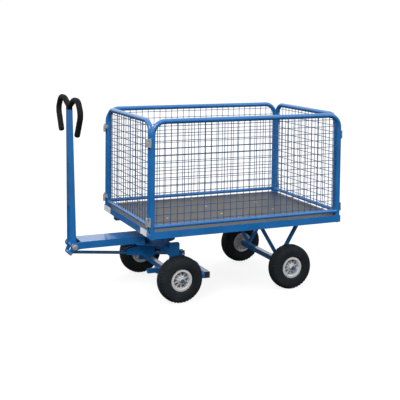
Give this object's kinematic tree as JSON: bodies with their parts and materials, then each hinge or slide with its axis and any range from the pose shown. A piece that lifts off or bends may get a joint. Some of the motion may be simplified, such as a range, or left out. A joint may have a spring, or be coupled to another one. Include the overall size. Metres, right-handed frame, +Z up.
{
  "type": "platform trolley",
  "caption": "Hand-drawn platform trolley with mesh walls on all sides, a turntable-steered front bogie, a hinged drawbar handle and a brake that grips when the handle stands up.",
  "frame": {"origin": "centre of the whole trolley's bounding box, on the floor under the tyres", "axes": "+X from the drawbar end to the rear, +Y to the trolley's right-hand side, +Z up"},
  "size_m": [1.5724, 0.8, 1.1377],
  "materials": {
    "blue_paint": "gloss powder coat",
    "wire_paint": "powder-coated wire, slightly greyed",
    "zinc": "bright zinc plate",
    "steel": "ground steel",
    "deck": "film-faced plywood with a pressed anti-slip grain",
    "black_plastic": "matt",
    "grip_foam": "soft foam",
    "tyre": "matt rubber",
    "rim": "moulded plastic"
  },
  "bodies": {
    "chassis": {"side_rail_left": "blue_paint", "side_rail_right": "blue_paint", "end_rail_front": "blue_paint", "end_rail_rear": "blue_paint", "cross_members": "blue_paint", "inner_rails": "blue_paint", "inner_rail_caps": "black_plastic", "deck_board": "deck", "deck_bolts": "zinc", "side_wall_left_frame": "blue_paint", "side_wall_right_frame": "blue_paint", "side_wall_left_mesh": "wire_paint", "side_wall_right_mesh": "wire_paint", "wall_bolts": "zinc", "wall_hinge_pins": "zinc", "turntable_plate": "blue_paint", "turntable_upper_ring": "blue_paint", "turntable_balls": "steel", "kingpin": "zinc", "rear_axle": "blue_paint", "rear_struts": "blue_paint", "rear_axle_nuts": "zinc"},
    "bogie": {"turntable_lower_ring": "blue_paint", "bogie_frame": "blue_paint", "front_axle": "blue_paint", "front_axle_nuts": "zinc", "tow_arm": "blue_paint", "arm_gusset": "blue_paint", "rod_guide": "blue_paint", "yoke_guide": "blue_paint", "pivot_bolt": "zinc", "return_springs": "steel"},
    "handle": {"handle_fork": "blue_paint", "grip_left": "grip_foam", "grip_right": "grip_foam", "rod_pin": "zinc"},
    "brake_rod": {"brake_rod": "blue_paint", "eye_pin": "zinc"},
    "brake_yoke": {"brake_bar": "blue_paint", "brake_cross_tube": "blue_paint", "cross_tube_caps": "black_plastic", "brake_shoes": "blue_paint"},
    "front_wall": {"front_wall_frame": "blue_paint", "front_wall_mesh": "wire_paint", "front_wall_eyes": "zinc"},
    "rear_wall": {"rear_wall_frame": "blue_paint", "rear_wall_mesh": "wire_paint", "rear_wall_eyes": "zinc"},
    "front_left_wheel": {"front_left_tyre": "tyre", "front_left_rim": "rim", "front_left_bearings": "steel"},
    "front_right_wheel": {"front_right_tyre": "tyre", "front_right_rim": "rim", "front_right_bearings": "steel"},
    "rear_left_wheel": {"rear_left_tyre": "tyre", "rear_left_rim": "rim", "rear_left_bearings": "steel"},
    "rear_right_wheel": {"rear_right_tyre": "tyre", "rear_right_rim": "rim", "rear_right_bearings": "steel"}
  },
  "joints": [
    {"name": "steer", "type": "hinge", "parent": "chassis", "child": "bogie", "pos_m": [-0.22675, 0, 0.3085], "axis": [0, 0, 1], "range_deg": [-90, 90]},
    {"name": "handle_tilt", "type": "hinge", "parent": "bogie", "child": "handle", "pos_m": [-0.75375, 0, 0.298], "axis": [0, -1, 0], "range_deg": [0, 60], "stiffness_Nm_per_rad": 38, "springref_deg": -17.19},
    {"name": "rod_swing", "type": "hinge", "parent": "handle", "child": "brake_rod", "pos_m": [-0.77075, 0, 0.257], "axis": [0, -1, 0], "range_deg": [-60, 0]},
    {"name": "brake_travel", "type": "slide", "parent": "bogie", "child": "brake_yoke", "axis": [1, 0, 0], "range_m": [0, 0.0446]},
    {"name": "front_wall_lift", "type": "slide", "parent": "chassis", "child": "front_wall", "axis": [0, 0, 1], "range_m": [0, 0.35]},
    {"name": "rear_wall_lift", "type": "slide", "parent": "chassis", "child": "rear_wall", "axis": [0, 0, 1], "range_m": [0, 0.35]},
    {"name": "front_left_spin", "type": "hinge", "parent": "bogie", "child": "front_left_wheel", "pos_m": [-0.22675, -0.318, 0.13], "axis": [0, 1, 0], "continuous": true},
    {"name": "front_right_spin", "type": "hinge", "parent": "bogie", "child": "front_right_wheel", "pos_m": [-0.22675, 0.318, 0.13], "axis": [0, 1, 0], "continuous": true},
    {"name": "rear_left_spin", "type": "hinge", "parent": "chassis", "child": "rear_left_wheel", "pos_m": [0.47325, -0.318, 0.13], "axis": [0, 1, 0], "continuous": true},
    {"name": "rear_right_spin", "type": "hinge", "parent": "chassis", "child": "rear_right_wheel", "pos_m": [0.47325, 0.318, 0.13], "axis": [0, 1, 0], "continuous": true}
  ],
  "couplings": [
    {"joint": "rod_swing", "follows": "handle_tilt", "ratio": -1},
    {"joint": "brake_travel", "follows": "handle_tilt", "m_per_rad": 0.0425}
  ]
}
